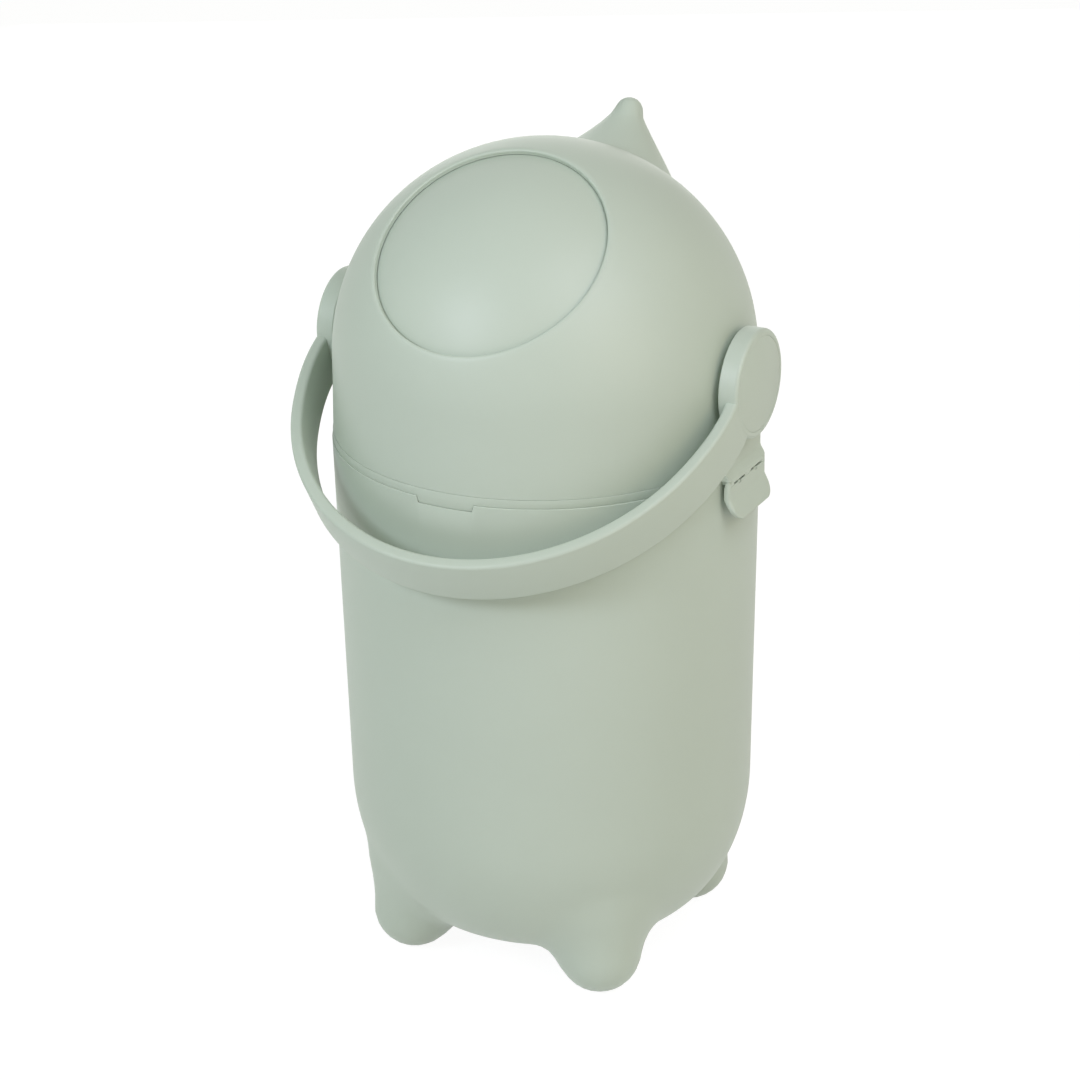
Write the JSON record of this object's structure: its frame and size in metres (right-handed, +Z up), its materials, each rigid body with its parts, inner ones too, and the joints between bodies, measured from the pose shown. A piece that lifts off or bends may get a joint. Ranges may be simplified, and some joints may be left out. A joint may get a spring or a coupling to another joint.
{
  "type": "nappy bin",
  "caption": "Free-standing nappy bin: round bucket on moulded feet, hinged dome lid with a horn, and a handle that turns an inner ball under the round opening.",
  "frame": {"origin": "middle of the bin's bounding box, on the floor, with the lid closed and the handle down", "axes": "+Z up; -Y is the front, where the handle hangs; +X is the side with the clip"},
  "size_m": [0.3088, 0.3153, 0.5652],
  "materials": {
    "sage_plastic": "fine satin, pale sage green",
    "pale_plastic": "satin",
    "seal_rubber": "matte",
    "steel": "plain"
  },
  "bodies": {
    "bucket_body": {"bucket": "sage_plastic", "bag_ring": "pale_plastic", "hinge_pin": "steel"},
    "lid": {"lid_ring": "sage_plastic", "lid_gasket": "seal_rubber", "dome_shell": "sage_plastic", "opening_seal": "seal_rubber", "axle_bush_right": "pale_plastic", "axle_bush_left": "pale_plastic", "clip_pin": "steel", "dome_screw_1": "steel", "dome_screw_2": "steel", "dome_screw_3": "steel", "dome_screw_4": "steel"},
    "handle_ball": {"handle": "sage_plastic", "drum_cup": "sage_plastic", "drum_back": "sage_plastic", "hub_cap_right": "sage_plastic", "hub_cap_left": "sage_plastic", "axle_right": "pale_plastic", "axle_left": "pale_plastic", "axle_screw_right": "steel", "axle_screw_left": "steel"},
    "clip_tongue": {"clip": "sage_plastic"}
  },
  "joints": [
    {"name": "lid_hinge", "type": "hinge", "parent": "bucket_body", "child": "lid", "pos_m": [-0.146, 0.01529, 0.3675], "axis": [0, -1, 0], "range_deg": [0, 100]},
    {"name": "handle_turn", "type": "hinge", "parent": "lid", "child": "handle_ball", "pos_m": [0, 0.01529, 0.4252], "axis": [-1, 0, 0], "range_deg": [0, 121.3]},
    {"name": "clip_swing", "type": "hinge", "parent": "lid", "child": "clip_tongue", "pos_m": [0.1445, 0.01529, 0.361], "axis": [0, -1, 0], "range_deg": [0, 70]}
  ]
}
